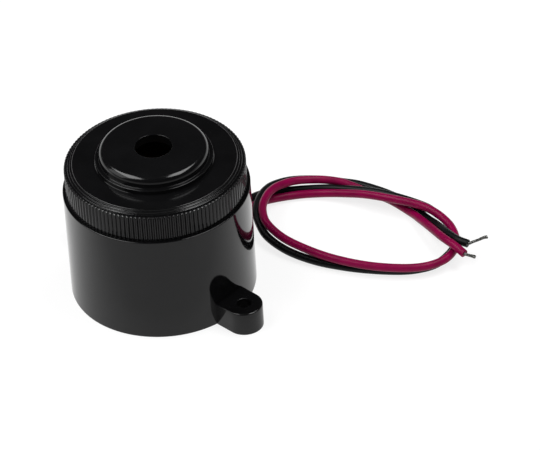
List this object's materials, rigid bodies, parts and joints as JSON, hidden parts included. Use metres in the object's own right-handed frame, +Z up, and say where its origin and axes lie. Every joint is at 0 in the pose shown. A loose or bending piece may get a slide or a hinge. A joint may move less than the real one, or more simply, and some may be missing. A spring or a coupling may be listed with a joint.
{
  "type": "piezo buzzer",
  "caption": "Round black piezo siren: deep moulded case with screw ears, knurled cap with a raised boss and sound port, sounder and driver board inside, and a red and a black flying lead.",
  "frame": {"origin": "centre of the base, on the mounting face", "axes": "+Z up through the sound port, +X through the centres of the two ear holes, +Y towards the lead outlet"},
  "size_m": [0.0826, 0.0766, 0.0375],
  "materials": {
    "case_plastic": "gloss moulded ABS, black",
    "cap_plastic": "gloss moulded ABS, black, slightly softer than the case",
    "adhesive": "cured silicone",
    "brass_sheet": "rolled sheet",
    "ceramic": "fired ceramic, matt",
    "silver_film": "fired silver film",
    "solder": "bright solder",
    "wire_red": "smooth insulation",
    "wire_blue": "smooth insulation",
    "wire_black": "smooth insulation",
    "board_laminate": "phenolic paper laminate",
    "screw_steel": "zinc plated",
    "ferrite": "sintered, matt",
    "copper_wire": "enamelled copper wire",
    "tinned_wire": "tinned wire",
    "can_aluminium": "drawn can",
    "sleeve_film": "heat-shrunk film, plain",
    "capacitor_resin": "dipped resin, plain",
    "black_resin": "moulded epoxy, plain",
    "resistor_lacquer": "lacquer",
    "sealant": "cured sealant",
    "lead_red": "PVC insulation, crimson",
    "lead_black": "PVC insulation, black",
    "tinned_strand": "tinned copper strands, twisted"
  },
  "bodies": {
    "root": {"case": "case_plastic", "cap": "cap_plastic", "adhesive_ring": "adhesive", "brass_plate": "brass_sheet", "ceramic_disc": "ceramic", "main_electrode": "silver_film", "feedback_electrode": "silver_film", "disc_solder": "solder", "main_wire": "wire_red", "feedback_wire": "wire_blue", "ground_wire": "wire_black", "circuit_board": "board_laminate", "board_screws": "screw_steel", "solder_joints": "solder", "coil_core": "ferrite", "coil_winding": "copper_wire", "coil_legs": "tinned_wire", "capacitor_can": "can_aluminium", "capacitor_sleeve": "sleeve_film", "capacitor_legs": "tinned_wire", "film_capacitor": "capacitor_resin", "film_capacitor_legs": "tinned_wire", "transistor": "black_resin", "transistor_legs": "tinned_wire", "resistors": "resistor_lacquer", "resistor_legs": "tinned_wire", "diode": "black_resin", "diode_legs": "tinned_wire", "outlet_seal": "sealant", "red_tail": "lead_red", "black_tail": "lead_black", "tail_cores": "tinned_strand", "red_lead": "lead_red", "black_lead": "lead_black", "red_lead_core": "tinned_strand", "black_lead_core": "tinned_strand"}
  },
  "joints": []
}
